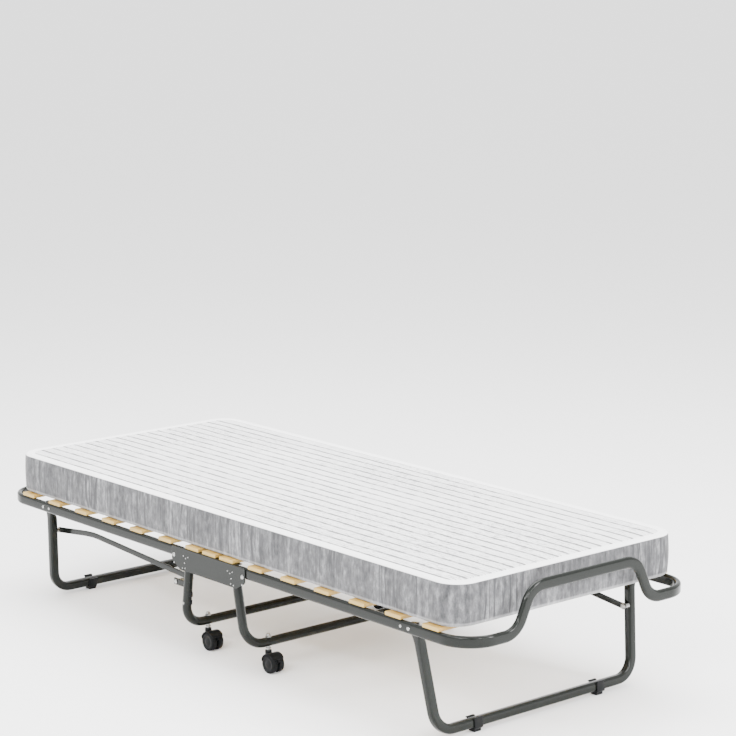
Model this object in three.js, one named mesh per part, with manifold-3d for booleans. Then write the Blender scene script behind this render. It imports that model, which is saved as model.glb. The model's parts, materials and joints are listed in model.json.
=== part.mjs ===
// A folding guest cot: two tubular bed halves hinged to a wheeled centre frame, with
// swing-down end legs, sprung slats and a mattress. Millimetres, +Z up, floor at z = 0.
// X runs along the bed (foot end -X, head end +X) and Y across it (near side -Y, far side +Y).

import * as THREE from "three";
import { mergeVertices } from "three/addons/utils/BufferGeometryUtils.js";
import Module from "manifold-3d";

const wasm = await Module();
wasm.setup();

const GAP = 0.3; // clearance between touching pieces
const BEND_STEP = 20; // degrees between the stations around a bend

// Bed frame
const HALF_LENGTH = 1000;
const HALF_WIDTH = 400;
const RAIL = { tall: 30, thick: 15, wall: 1.5, bottom: 272, corner: 87.5 };
const RAIL_Z = RAIL.bottom + RAIL.tall / 2;
const RAIL_TOP = RAIL.bottom + RAIL.tall;
const RAIL_Y = HALF_WIDTH - RAIL.thick / 2;
const END_X = HALF_LENGTH - RAIL.thick / 2;
const HOOP = { z: 394, lowY: 232, highY: 182, bend: 60 };

// Fold pivots of the two halves, in the hinge plates
const FOLD = { x: 150, z: 278 };
const RAIL_END_X = FOLD.x - 25;
const PIN = { shank: 3.5, hole: 3.9, sides: 8, holeSides: 12 };

// Hinge plates: a folded channel with its web outside the rails
const PLATE = { halfLength: 160, bottom: 241, inner: 400.5, thick: 3, flangeX: 113, flangeY: 374 };
const PLATE_CHAMFER = { x: 36, z: 21 };
const PLATE_OUTER = PLATE.inner + PLATE.thick;

// Slats
const SLAT = { width: 58, bottom: RAIL_TOP + GAP, top: 312 };
const SLAT_ROWS = { centrePitch: 75, first: 197, pitch: 135, perHalf: 6 };

// Centre legs: round tube, leaning out towards the ends and slightly in towards the bottom
const CENTRE_LEG = { radius: 12.5, wall: 1.6, lean: 0.165, taper: 0.03, bend: 60, topZ: 296, barZ: 80.5 };
const centreLegX = (z) => 102 + CENTRE_LEG.lean * (264 - z);
const centreLegY = (z) => PLATE.inner - 0.5 - CENTRE_LEG.radius - CENTRE_LEG.taper * (CENTRE_LEG.topZ - z);

// End legs: rounded square tube hung inside the rails
const LEG_PIVOT = { x: 794, z: RAIL_Z };
// Room between a leg and the rail, so that the leaning top clears it as it turns
const LEG_CLEARANCE = 1.4;
const END_LEG = {
  depth: 22, width: 25, round: 6, wall: 1.5, bend: 58, lean: 0.15, taper: 0.11, topZ: LEG_PIVOT.z + 11,
  barZ: 22.7,
};
const endLegX = (z) => LEG_PIVOT.x + END_LEG.lean * (LEG_PIVOT.z - z);
const endLegY = (z) => (
  RAIL_Y - RAIL.thick / 2 - LEG_CLEARANCE - END_LEG.width / 2 - END_LEG.taper * (LEG_PIVOT.z - z)
);

// Link bars, one for each half: both ends sit at the same offset from the two pivots,
// so the half, its leg and its link form a parallelogram with the hinge plate
const LINK_OFFSET = { x: 16, z: -82 };
const LINK = {
  halfWidth: 8, inner: 333.5, thick: 4, rise: 22, bendX: 640, looseHole: 5, stud: 4, collar: 7,
};
const LINK_LOW = { x: FOLD.x + LINK_OFFSET.x, z: FOLD.z + LINK_OFFSET.z };
const LINK_HIGH = { x: LEG_PIVOT.x + LINK_OFFSET.x, z: LEG_PIVOT.z + LINK_OFFSET.z };
const LINK_TAB = { halfHeight: 9, thick: 4, end: 10 };

// Casters
const CASTER = { y: 305, wheel: 25, trail: 20, halfWidth: 19.5, web: 3.5, hood: 28.5, sides: 16 };
const CASTER_STEM = { radius: 5, socket: 9, socketLow: 48.5, socketHigh: 58 };

// Glides on the end legs' crossbars
const GLIDE = { y: 215, halfLength: 14, wall: 3, height: 33 };

// Mattress
const MATTRESS = { halfLength: 945, halfWidth: 389, bottom: 314, top: 422, corner: 65, split: 204.7 };

// Closing strap, riveted to the inner face of the foot hoop and hanging from it
const STRAP = { halfWidth: 12.5, thick: 1.5, low: 318, high: 408 };

const ENDS = [{ name: "foot", sx: -1, linkSide: -1 }, { name: "head", sx: 1, linkSide: 1 }];
const SIDES = [{ name: "near", sy: -1 }, { name: "far", sy: 1 }];

const PAINT = { color: 0x474947, roughness: 0.32, metalness: 0.55 };
const WOOD = { color: 0xe2c283, roughness: 0.6, metalness: 0 };
const STEEL = { color: 0xc9cbcc, roughness: 0.25, metalness: 1 };
const BLACK = { color: 0x17191a, roughness: 0.45, metalness: 0 };
const TICKING = { color: 0xe9e8e4, roughness: 0.9, metalness: 0 };
const WEBBING = { color: 0x1b1b1c, roughness: 0.85, metalness: 0 };

const bed = new THREE.Group();

function addPart(name, geometry, look) {
  const mesh = new THREE.Mesh(geometry, new THREE.MeshStandardMaterial(look));
  mesh.name = name;
  bed.add(mesh);
  return mesh;
}

// Manifold solids for the pieces that are cut or joined

function toSolid(geometry) {
  const bare = geometry.clone();
  bare.deleteAttribute("normal");
  bare.deleteAttribute("uv");
  const merged = mergeVertices(bare, 1e-3);
  return new wasm.Manifold(new wasm.Mesh({
    numProp: 3,
    vertProperties: new Float32Array(merged.attributes.position.array),
    triVerts: new Uint32Array(merged.index.array),
  }));
}

function toGeometry(solid) {
  const mesh = solid.getMesh();
  const geometry = new THREE.BufferGeometry();
  geometry.setAttribute("position", new THREE.BufferAttribute(mesh.vertProperties, 3));
  geometry.setIndex(new THREE.BufferAttribute(mesh.triVerts, 1));
  geometry.computeVertexNormals();
  return geometry;
}

function join(...geometries) {
  return toGeometry(geometries.map(toSolid).reduce((whole, piece) => whole.add(piece)));
}

// Cuts round holes along Y; each hole is { x, z, r, from, to }
function drill(geometry, holes) {
  const cutters = holes.map(({ x, z, r, from, to }) =>
    toSolid(new THREE.CylinderGeometry(r, r, to - from, PIN.holeSides).translate(x, (from + to) / 2, z)));
  return toGeometry(cutters.reduce((whole, cutter) => whole.subtract(cutter), toSolid(geometry)));
}

// A tube's centre line: straight runs joined by round bends, sampled only where it bends
class Route extends THREE.Curve {
  constructor(corners, bend, stepDegrees) {
    super();
    this.stations = [];
    corners.forEach((corner, i) => {
      const before = corners[i - 1] ?? corner;
      const after = corners[i + 1] ?? corner;
      const inward = corner.clone().sub(before).normalize();
      const outward = after.clone().sub(corner).normalize();
      if (i === 0 || i === corners.length - 1) {
        this.stations.push({ point: corner, tangent: i === 0 ? outward : inward });
        return;
      }
      const radius = Array.isArray(bend) ? bend[i] : bend;
      const turn = inward.angleTo(outward);
      const run = radius * Math.tan(turn / 2);
      const start = corner.clone().addScaledVector(inward, -run);
      const side = outward.clone().addScaledVector(inward, -outward.dot(inward)).normalize();
      const steps = Math.max(2, Math.round(THREE.MathUtils.radToDeg(turn) / stepDegrees));
      for (let k = 0; k <= steps; k++) {
        const a = turn * k / steps;
        const point = start.clone().addScaledVector(inward, radius * Math.sin(a))
          .addScaledVector(side, radius * (1 - Math.cos(a)));
        const tangent = inward.clone().multiplyScalar(Math.cos(a)).addScaledVector(side, Math.sin(a));
        this.stations.push({ point, tangent });
      }
    });
  }

  station(u) {
    return this.stations[Math.round(u * (this.stations.length - 1))];
  }

  getPointAt(u, target = new THREE.Vector3()) {
    return target.copy(this.station(u).point);
  }

  getTangentAt(u, target = new THREE.Vector3()) {
    return target.copy(this.station(u).tangent);
  }
}

// The outline of a rectangle with round corners: height along x, width along y, each
// corner in the given number of chords
function roundedRectangle(height, width, radius, chords) {
  const points = [];
  for (let quarter = 0; quarter < 4; quarter++) {
    const alongX = quarter === 0 || quarter === 3 ? 1 : -1;
    const alongY = quarter < 2 ? 1 : -1;
    for (let k = 0; k <= chords; k++) {
      const a = (quarter + k / chords) * Math.PI / 2;
      const point = new THREE.Vector2(
        alongX * (height / 2 - radius) + radius * Math.cos(a),
        alongY * (width / 2 - radius) + radius * Math.sin(a),
      );
      if (points.every((other) => other.distanceTo(point) > 0.1)) points.push(point);
    }
  }
  return points;
}

function tube(route, height, width, radius, wall, chords) {
  const section = new THREE.Shape(roundedRectangle(height, width, radius, chords));
  const bore = roundedRectangle(height - 2 * wall, width - 2 * wall, radius - wall, chords);
  section.holes.push(new THREE.Path(bore));
  return new THREE.ExtrudeGeometry(section, { steps: route.stations.length - 1, extrudePath: route });
}

// Extrudes an outline drawn in X and Z between two Y values
function slab(shape, yLow, yHigh, curveSegments = 4) {
  const options = { depth: yHigh - yLow, bevelEnabled: false, curveSegments };
  return new THREE.ExtrudeGeometry(shape, options).rotateX(Math.PI / 2).translate(0, yHigh, 0);
}

function block(x0, x1, y0, y1, z0, z1) {
  return new THREE.BoxGeometry(Math.abs(x1 - x0), Math.abs(y1 - y0), z1 - z0)
    .translate((x0 + x1) / 2, (y0 + y1) / 2, (z0 + z1) / 2);
}

// A turned piece along Y; profile points are [radius, y], in order of rising y
function turnedY(profile, sides = PIN.sides) {
  return new THREE.LatheGeometry(profile.map(([r, y]) => new THREE.Vector2(r, y)), sides);
}

// Turns a piece along Y into one along Z
function upright(geometry) {
  return geometry.rotateX(Math.PI / 2);
}

// A headed pin across Y. Points run from the bed's outside inwards: |y| of each step and its radius
function headedPin(x, z, sy, outside, steps) {
  const profile = [[0, outside], ...steps.map(([r, y]) => [r, y]), [0, steps.at(-1)[1]]];
  const signed = profile.map(([r, y]) => [r, sy * y]);
  if (sy > 0) signed.reverse();
  return turnedY(signed).translate(x, 0, z);
}

// One half's continuous tube: two rails, two corners and the raised hoop at the end
function halfFrame({ sx }) {
  const profile = [
    [RAIL_END_X, RAIL_Y, RAIL_Z, 0],
    [END_X, RAIL_Y, RAIL_Z, RAIL.corner],
    [END_X, HOOP.lowY, RAIL_Z, HOOP.bend],
    [END_X, HOOP.highY, HOOP.z, HOOP.bend],
  ];
  const near = profile.map(([x, y, z]) => new THREE.Vector3(sx * x, -y, z));
  const far = profile.map(([x, y, z]) => new THREE.Vector3(sx * x, y, z)).reverse();
  const bends = profile.map((corner) => corner[3]);
  const route = new Route([...near, ...far], [...bends, ...bends.toReversed()], BEND_STEP);
  const geometry = tube(route, RAIL.tall, RAIL.thick, RAIL.thick / 2, RAIL.wall, 2);
  const holes = [FOLD, LEG_PIVOT].flatMap(({ x, z }) => SIDES.map(({ sy }) => ({
    x: sx * x,
    z,
    r: PIN.hole,
    from: Math.min(sy * (HALF_WIDTH + 5), sy * (HALF_WIDTH - 20)),
    to: Math.max(sy * (HALF_WIDTH + 5), sy * (HALF_WIDTH - 20)),
  })));
  return drill(geometry, holes);
}

// A hinge plate: flat web with chamfered lower corners and a top flange under the centre slats
function hingePlate({ sy }) {
  const { halfLength: h, bottom } = PLATE;
  const web = new THREE.Shape([
    [-h, RAIL_TOP], [-h, bottom + PLATE_CHAMFER.z], [-h + PLATE_CHAMFER.x, bottom],
    [h - PLATE_CHAMFER.x, bottom], [h, bottom + PLATE_CHAMFER.z], [h, RAIL_TOP],
  ].map(([x, z]) => new THREE.Vector2(x, z)));
  for (const { sx } of ENDS) {
    web.holes.push(new THREE.Path().absarc(sx * FOLD.x, FOLD.z, PIN.hole, 0, Math.PI * 2));
  }
  const yEdges = [sy * PLATE.inner, sy * PLATE_OUTER].sort((a, b) => a - b);
  const flange = block(-PLATE.flangeX, PLATE.flangeX, sy * PLATE.flangeY, sy * (PLATE.inner + 1),
    RAIL_TOP - PLATE.thick, RAIL_TOP);
  return join(slab(web, ...yEdges, 6), flange);
}

// A centre leg: U tube with the link's tab welded to one upright
function centreLeg({ sx, linkSide }) {
  const { topZ, barZ, radius, wall } = CENTRE_LEG;
  const corner = (z, sy) => new THREE.Vector3(sx * centreLegX(z), sy * centreLegY(z), z);
  const route = new Route([corner(topZ, -1), corner(barZ, -1), corner(barZ, 1), corner(topZ, 1)],
    CENTRE_LEG.bend, BEND_STEP);
  const leg = tube(route, 2 * radius, 2 * radius, radius, wall, 3);
  const y = centreLegY(LINK_LOW.z);
  const tab = block(sx * (centreLegX(LINK_LOW.z) + radius - 2), sx * (LINK_LOW.x + LINK_TAB.end),
    linkSide * (y - LINK_TAB.thick / 2), linkSide * (y + LINK_TAB.thick / 2),
    LINK_LOW.z - LINK_TAB.halfHeight, LINK_LOW.z + LINK_TAB.halfHeight);
  const ys = [linkSide * (y - 5), linkSide * (y + 5)].sort((a, b) => a - b);
  return drill(join(leg, tab), [{ x: sx * LINK_LOW.x, z: LINK_LOW.z, r: PIN.hole, from: ys[0], to: ys[1] }]);
}

// An end leg: rounded-square U tube with the stud that carries the link's upper eye
function endLeg({ sx, linkSide }) {
  const { topZ, barZ } = END_LEG;
  const corner = (z, sy) => new THREE.Vector3(sx * endLegX(z), sy * endLegY(z), z);
  const route = new Route([corner(topZ, -1), corner(barZ, -1), corner(barZ, 1), corner(topZ, 1)],
    END_LEG.bend, BEND_STEP);
  const leg = tube(route, END_LEG.width, END_LEG.depth, END_LEG.round, END_LEG.wall, 1);
  const face = endLegY(LINK_HIGH.z) - END_LEG.width / 2;
  const stud = headedPin(sx * LINK_HIGH.x, LINK_HIGH.z, linkSide, face + 1, [
    [LINK.collar, face + 1], [LINK.collar, LINK.inner + LINK.thick + 0.5],
    [LINK.stud, LINK.inner + LINK.thick + 0.5], [LINK.stud, LINK.inner - 0.5],
    [8, LINK.inner - 0.5], [8, LINK.inner - 3],
  ]);
  const holes = SIDES.map(({ sy }) => {
    const ys = [sy * (endLegY(LEG_PIVOT.z) - 18), sy * (endLegY(LEG_PIVOT.z) + 18)].sort((a, b) => a - b);
    return { x: sx * LEG_PIVOT.x, z: LEG_PIVOT.z, r: PIN.hole, from: ys[0], to: ys[1] };
  });
  return drill(join(leg, stud), holes);
}

// A link bar: a flat strip bent a little upwards, with an eye at each end
function linkBar({ sx }) {
  const low = new THREE.Vector2(LINK_LOW.x, LINK_LOW.z);
  const high = new THREE.Vector2(LINK_HIGH.x, LINK_HIGH.z);
  const share = (LINK.bendX - low.x) / (high.x - low.x);
  const knee = low.clone().lerp(high, share);
  knee.y += LINK.rise;
  const { halfWidth: w } = LINK;
  const lower = Math.atan2(knee.y - low.y, knee.x - low.x);
  const upper = Math.atan2(high.y - knee.y, high.x - knee.x);
  const quarter = Math.PI / 2;
  const middle = (lower + upper) / 2;
  const outline = new THREE.Shape();
  outline.absarc(low.x, low.y, w, lower + quarter, lower + 3 * quarter);
  outline.lineTo(knee.x + w * Math.sin(middle), knee.y - w * Math.cos(middle));
  outline.absarc(high.x, high.y, w, upper - quarter, upper + quarter);
  outline.lineTo(knee.x - w * Math.sin(middle), knee.y + w * Math.cos(middle));
  outline.holes.push(new THREE.Path().absarc(low.x, low.y, PIN.hole, 0, Math.PI * 2));
  outline.holes.push(new THREE.Path().absarc(high.x, high.y, LINK.looseHole, 0, Math.PI * 2));
  const flat = slab(outline, LINK.inner, LINK.inner + LINK.thick, 6);
  // the foot end's bar, on the near side, is the head end's turned half a turn about Z
  return sx < 0 ? flat.rotateZ(Math.PI) : flat;
}

// A glide: a moulded shoe around the lower part of the crossbar, flat underneath
function glide({ sx }, { sy }) {
  const tilt = Math.atan(END_LEG.lean);
  const x = endLegX(END_LEG.barZ);
  const inner = { a: END_LEG.depth / 2 + GAP, b: END_LEG.width / 2 + GAP };
  const spin = (u, v) => new THREE.Vector2(
    sx * (x + u * Math.cos(tilt) - v * Math.sin(tilt)),
    END_LEG.barZ + u * Math.sin(tilt) + v * Math.cos(tilt),
  );
  const lip = GLIDE.height - END_LEG.barZ;
  const points = [
    new THREE.Vector2(sx * (x - inner.a - GLIDE.wall + 2), 0),
    new THREE.Vector2(sx * (x + inner.a + GLIDE.wall), 0),
    spin(inner.a + GLIDE.wall, lip), spin(inner.a, lip),
    spin(inner.a, -inner.b), spin(-inner.a, -inner.b),
    spin(-inner.a, lip), spin(-inner.a - GLIDE.wall, lip),
  ];
  if (sx < 0) points.reverse();
  return slab(new THREE.Shape(points), sy * GLIDE.y - GLIDE.halfLength, sy * GLIDE.y + GLIDE.halfLength);
}

function slat(x) {
  return block(x - SLAT.width / 2, x + SLAT.width / 2, -HALF_WIDTH, HALF_WIDTH, SLAT.bottom, SLAT.top);
}

// The part of the mattress that folds with one half
function mattressHalf({ sx }) {
  const { halfLength: l, halfWidth: w, corner: r, split } = MATTRESS;
  const outline = new THREE.Shape();
  outline.moveTo(split, -w);
  outline.lineTo(l - r, -w);
  outline.absarc(l - r, -w + r, r, -Math.PI / 2, 0);
  outline.lineTo(l, w - r);
  outline.absarc(l - r, w - r, r, 0, Math.PI / 2);
  outline.lineTo(split, w);
  const pad = new THREE.ExtrudeGeometry(outline, {
    depth: MATTRESS.top - MATTRESS.bottom,
    bevelEnabled: false,
    curveSegments: 6,
  }).translate(0, 0, MATTRESS.bottom);
  return sx > 0 ? pad : pad.rotateZ(Math.PI);
}

function mattressCentre({ sx }) {
  return block(sx * GAP, sx * (MATTRESS.split - GAP), -MATTRESS.halfWidth, MATTRESS.halfWidth,
    MATTRESS.bottom, MATTRESS.top);
}

// Caster fork: stem and socket, a web between the wheels, a hood over them and the axle
function casterHousing() {
  const { wheel, trail, web, hood, halfWidth } = CASTER;
  const { radius, socket, socketLow, socketHigh } = CASTER_STEM;
  const stemTop = CENTRE_LEG.barZ - CENTRE_LEG.radius - GAP;
  const post = upright(turnedY([
    [0, socketLow], [socket, socketLow], [socket, socketHigh], [radius, socketHigh], [radius, stemTop],
    [0, stemTop],
  ]));
  const blade = new THREE.Shape();
  blade.absarc(trail, wheel, hood - 1, Math.PI * 0.2, Math.PI * 1.02);
  blade.lineTo(trail - 8, wheel - 8);
  blade.lineTo(trail + 8, wheel - 8);
  const cover = new THREE.Shape();
  cover.absarc(trail, wheel, hood, Math.PI * 0.2, Math.PI * 0.95);
  cover.absarc(trail, wheel, wheel + 1.4, Math.PI * 0.95, Math.PI * 0.2, true);
  const axle = turnedY([[0, -halfWidth + 1], [3, -halfWidth + 1], [3, halfWidth - 1], [0, halfWidth - 1]])
    .translate(trail, 0, wheel);
  return join(post, slab(blade, -web, web, 10), slab(cover, -halfWidth, halfWidth, 10), axle);
}

function casterWheel({ sy }) {
  const { wheel, halfWidth, web } = CASTER;
  const low = web + 0.5;
  const profile = [
    [3.4, low], [wheel - 1.5, low], [wheel, low + 1.5], [wheel, halfWidth - 3], [wheel - 3, halfWidth - 0.5],
    [3.4, halfWidth - 0.5], [3.4, low],
  ];
  const signed = profile.map(([r, y]) => [r, sy * y]);
  if (sy < 0) signed.reverse();
  return turnedY(signed, CASTER.sides);
}

const legPinSteps = (outer) => {
  const inner = endLegY(LEG_PIVOT.z) - END_LEG.width / 2;
  return [[4.5, outer], [6.5, outer - 1.4], [6.5, HALF_WIDTH + GAP], [PIN.shank, HALF_WIDTH + GAP],
    [PIN.shank, inner - 1], [6, inner - 1], [6, inner - 3.5]];
};

for (const side of SIDES) {
  addPart(`hinge_plate_${side.name}`, hingePlate(side), PAINT);
}

for (const end of ENDS) {
  const { name, sx, linkSide } = end;
  addPart(`frame_${name}`, halfFrame(end), PAINT);
  addPart(`centre_leg_${name}`, centreLeg(end), PAINT);
  addPart(`end_leg_${name}`, endLeg(end), PAINT);
  addPart(`link_${name}`, linkBar(end), PAINT);
  addPart(`mattress_${name}`, mattressHalf(end), TICKING);
  addPart(`mattress_centre_${name}`, mattressCentre(end), TICKING);

  const tabY = centreLegY(LINK_LOW.z);
  const tabOuter = tabY + LINK_TAB.thick / 2 + GAP;
  const tabInner = tabY - LINK_TAB.thick / 2 - GAP;
  const linkOuter = LINK.inner + LINK.thick + GAP;
  const linkInner = LINK.inner - GAP;
  addPart(`link_pin_${name}`, headedPin(sx * LINK_LOW.x, LINK_LOW.z, linkSide, tabOuter + 2.6, [
    [6.5, tabOuter + 2.6], [6.5, tabOuter], [PIN.shank, tabOuter], [PIN.shank, tabInner], [6, tabInner],
    [6, linkOuter], [PIN.shank, linkOuter], [PIN.shank, linkInner], [6.5, linkInner], [6.5, linkInner - 2.5],
  ]), STEEL);

  for (const side of SIDES) {
    const { sy } = side;
    const spot = `${name}_${side.name}`;
    const foldOuter = PLATE_OUTER + GAP + 2.6;
    const railInner = HALF_WIDTH - RAIL.thick - GAP;
    addPart(`fold_pin_${spot}`, headedPin(sx * FOLD.x, FOLD.z, sy, foldOuter, [
      [5, foldOuter], [7, foldOuter - 1.4], [7, PLATE_OUTER + GAP], [PIN.shank, PLATE_OUTER + GAP],
      [PIN.shank, railInner], [6, railInner], [6, railInner - 3],
    ]), STEEL);
    const legOuter = HALF_WIDTH + GAP + 2.4;
    const legPin = headedPin(sx * LEG_PIVOT.x, LEG_PIVOT.z, sy, legOuter, legPinSteps(legOuter));
    addPart(`leg_pin_${spot}`, legPin, STEEL);
    addPart(`glide_${spot}`, glide(end, side), BLACK);

    const x = sx * centreLegX(CENTRE_LEG.barZ);
    const y = sy * CASTER.y;
    const housing = addPart(`caster_${spot}`, casterHousing(), BLACK);
    housing.position.set(x, y, 0);
    for (const face of SIDES) {
      const wheel = addPart(`wheel_${spot}_${face.sy < 0 ? "a" : "b"}`, casterWheel(face), BLACK);
      wheel.position.set(x + CASTER.trail, y, CASTER.wheel);
    }
    const barTop = CENTRE_LEG.barZ + CENTRE_LEG.radius + GAP;
    const nut = upright(turnedY([
      [0, 0], [8.5, 0], [8.5, 1.6], [7, 1.6], [7, 4.5], [6.2, 7.4], [3.5, 9.8], [0, 10.5],
    ]));
    addPart(`caster_nut_${spot}`, nut, STEEL).position.set(x, y, barTop);
  }
}

function closingStrap() {
  const x = -HALF_LENGTH + RAIL.thick + GAP;
  return block(x, x + STRAP.thick, -STRAP.halfWidth, STRAP.halfWidth, STRAP.low, STRAP.high);
}

addPart("closing_strap", closingStrap(), WEBBING);

// Six slats on each half and three on the hinge plates, numbered from the foot end
const centres = [];
for (let k = SLAT_ROWS.perHalf - 1; k >= 0; k--) centres.push(-SLAT_ROWS.first - k * SLAT_ROWS.pitch);
for (let k = -1; k <= 1; k++) centres.push(k * SLAT_ROWS.centrePitch);
for (let k = 0; k < SLAT_ROWS.perHalf; k++) centres.push(SLAT_ROWS.first + k * SLAT_ROWS.pitch);
centres.forEach((x, i) => {
  addPart(`slat_${String(i + 1).padStart(2, "0")}`, slat(x), WOOD);
});

export default bed;
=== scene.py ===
"""A folding guest cot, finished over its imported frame.

Metres, +Z up, floor at z = 0. X runs along the bed (foot end -X, head end +X) and Y across it.
"""

import json
import math

import bmesh
import bpy
import numpy as np
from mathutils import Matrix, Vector


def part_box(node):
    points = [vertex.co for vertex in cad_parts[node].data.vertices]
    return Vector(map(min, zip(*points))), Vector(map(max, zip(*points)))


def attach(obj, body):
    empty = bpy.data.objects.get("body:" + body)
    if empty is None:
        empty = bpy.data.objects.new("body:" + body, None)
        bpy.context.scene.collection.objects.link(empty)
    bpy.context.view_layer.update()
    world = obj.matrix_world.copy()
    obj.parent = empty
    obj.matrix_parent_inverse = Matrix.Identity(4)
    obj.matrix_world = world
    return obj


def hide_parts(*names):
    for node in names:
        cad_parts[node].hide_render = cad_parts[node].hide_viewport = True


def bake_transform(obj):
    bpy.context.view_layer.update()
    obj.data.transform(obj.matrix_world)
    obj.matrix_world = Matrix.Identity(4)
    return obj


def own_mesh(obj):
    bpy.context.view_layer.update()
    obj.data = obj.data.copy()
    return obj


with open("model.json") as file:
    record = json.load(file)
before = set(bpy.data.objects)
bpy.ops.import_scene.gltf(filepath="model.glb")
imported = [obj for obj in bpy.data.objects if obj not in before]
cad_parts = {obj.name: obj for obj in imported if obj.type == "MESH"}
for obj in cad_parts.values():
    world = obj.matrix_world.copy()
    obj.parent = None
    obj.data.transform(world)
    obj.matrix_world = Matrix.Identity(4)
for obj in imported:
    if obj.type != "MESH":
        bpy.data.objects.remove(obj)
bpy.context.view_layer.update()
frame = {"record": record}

MM = 0.001
ENDS = {"foot": -1, "head": 1}
SIDES = {"near": -1, "far": 1}
# The link stands on the near side at the foot and on the far side at the head
LINK_SIDES = {"foot": -1, "head": 1}

# Sizes read from the frame
_, FRAME_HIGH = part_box("frame_head")
HALF_LENGTH = FRAME_HIGH[0]
HALF_WIDTH = FRAME_HIGH[1]
SLAT_LOW, SLAT_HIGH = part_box("slat_08")
PAD_LOW, PAD_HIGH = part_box("mattress_head")
PLATE_LOW, PLATE_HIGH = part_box("hinge_plate_far")

JOINTS = {joint["name"]: joint for joint in frame["record"]["behaviour"]["joints"]}
FOLD = [abs(v) for v in JOINTS["head_fold"]["pos_m"]]
LEG_PIVOT = [abs(v) for v in JOINTS["head_leg_fold"]["pos_m"]]
LINK_LOW = [abs(v) for v in JOINTS["head_link_fold"]["pos_m"]]
STEM = [abs(v) for v in JOINTS["caster_swivel_head_near"]["pos_m"]]

# Tube sections and bends
RAIL_TALL = 30 * MM
RAIL_THICK = 15 * MM
RAIL_Z = LEG_PIVOT[2]
RAIL_Y = HALF_WIDTH - RAIL_THICK / 2
END_X = HALF_LENGTH - RAIL_THICK / 2
HOOP_Z = FRAME_HIGH[2] - RAIL_TALL / 2
HOOP_LOW_Y = 232 * MM
HOOP_HIGH_Y = 182 * MM
CORNER_BEND = 87.5 * MM
HOOP_BEND = 60 * MM
RAIL_TAIL = 25 * MM

CENTRE_RADIUS = 12.5 * MM
CENTRE_LEAN = 0.165
CENTRE_TAPER = 0.03
CENTRE_TOP = 296 * MM
CENTRE_BAR = 80.5 * MM
CENTRE_CORNER = 60 * MM
CENTRE_CLEARANCE = 0.5 * MM
BOLT_Z = 0.146
BUMPERS_Z = (0.172, 0.149)
TAB_HALF_THICK = 2 * MM
TAB_HALF_TALL = 9 * MM

LEG_DEPTH = 22 * MM
LEG_WIDTH = 25 * MM
LEG_LEAN = 0.15
LEG_TAPER = 0.11
LEG_TOP = LEG_PIVOT[2] + 11 * MM
LEG_BAR = 22.7 * MM
LEG_CORNER = 58 * MM
LEG_CLEARANCE = 1.4 * MM
PRESSED_THICK = 12 * MM
PRESSED_BROAD = 29 * MM
NECK = 26 * MM
GLIDE_Y = 215 * MM
GLIDE_SPACE = 2 * MM

LINK_INNER = 333.5 * MM
LINK_THICK = 4 * MM
LINK_OFFSET = (LINK_LOW[0] - FOLD[0], LINK_LOW[2] - FOLD[2])
KNEE_X = 0.640
KNEE_RISE = 22 * MM
KNEE_BEND = 0.35

# Hinge plates, and the places of their rivets in millimetres
PLATE_THICK = 3 * MM
FLANGE_Y = 374 * MM
FLANGE_HALF = 113 * MM
PLATE_RIVETS = ((87, 282), (97, 277), (107, 282), (102, 263.5), (100, 249.5), (112, 247.5))
PLATE_STOPS = ((149, 256.5),)
RAIL_RIVET_X = 29 * MM

# Pins
SHANK = 3.5 * MM
PIN_PROUD = 0.3 * MM
LEG_PIN_REACH = 13.5 * MM

WHEEL = 25 * MM
TRAIL = 20 * MM
HOOD_RADIUS = 27.4 * MM
WEB_RADIUS = 27.0 * MM
WEB_HALF = 3.4 * MM


def centre_leg_x(z):
    return STEM[0] - CENTRE_LEAN * (z - CENTRE_BAR)


def centre_leg_y(z):
    top = PLATE_HIGH[1] - PLATE_THICK - CENTRE_CLEARANCE - CENTRE_RADIUS
    return top - CENTRE_TAPER * (CENTRE_TOP - z)


def end_leg_x(z):
    return LEG_PIVOT[0] + LEG_LEAN * (LEG_PIVOT[2] - z)


def end_leg_y(z):
    top = HALF_WIDTH - RAIL_THICK - LEG_CLEARANCE - LEG_WIDTH / 2
    return top - LEG_TAPER * (LEG_PIVOT[2] - z)


# ---------------------------------------------------------------- materials


class Value:
    """A shader socket that adds Math nodes when it is used in an expression."""

    def __init__(self, finish, socket):
        self.finish = finish
        self.socket = socket

    def math(self, operation, *others, clamp=False):
        values = dict(enumerate((self,) + others))
        return self.finish.node("ShaderNodeMath", {"operation": operation, "use_clamp": clamp}, values)[0]

    def __add__(self, other):
        return self.math("ADD", other)

    def __mul__(self, other):
        return self.math("MULTIPLY", other)

    def __sub__(self, other):
        return self.math("SUBTRACT", other)

    def __rsub__(self, other):
        return (self * -1.0) + other

    def __truediv__(self, other):
        return self.math("DIVIDE", other)

    __radd__ = __add__
    __rmul__ = __mul__

    def above(self, low, high):
        """0 below low, 1 above high, smooth between."""
        step = self.finish.node(
            "ShaderNodeMapRange",
            {"interpolation_type": "SMOOTHSTEP"},
            {"Value": self, "From Min": low, "From Max": high},
        )
        return step["Result"]


class Outputs:
    """A node's outputs, by name or by number."""

    def __init__(self, finish, node):
        self.finish = finish
        self.node = node

    def __getitem__(self, key):
        return Value(self.finish, self.node.outputs[key])


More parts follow.
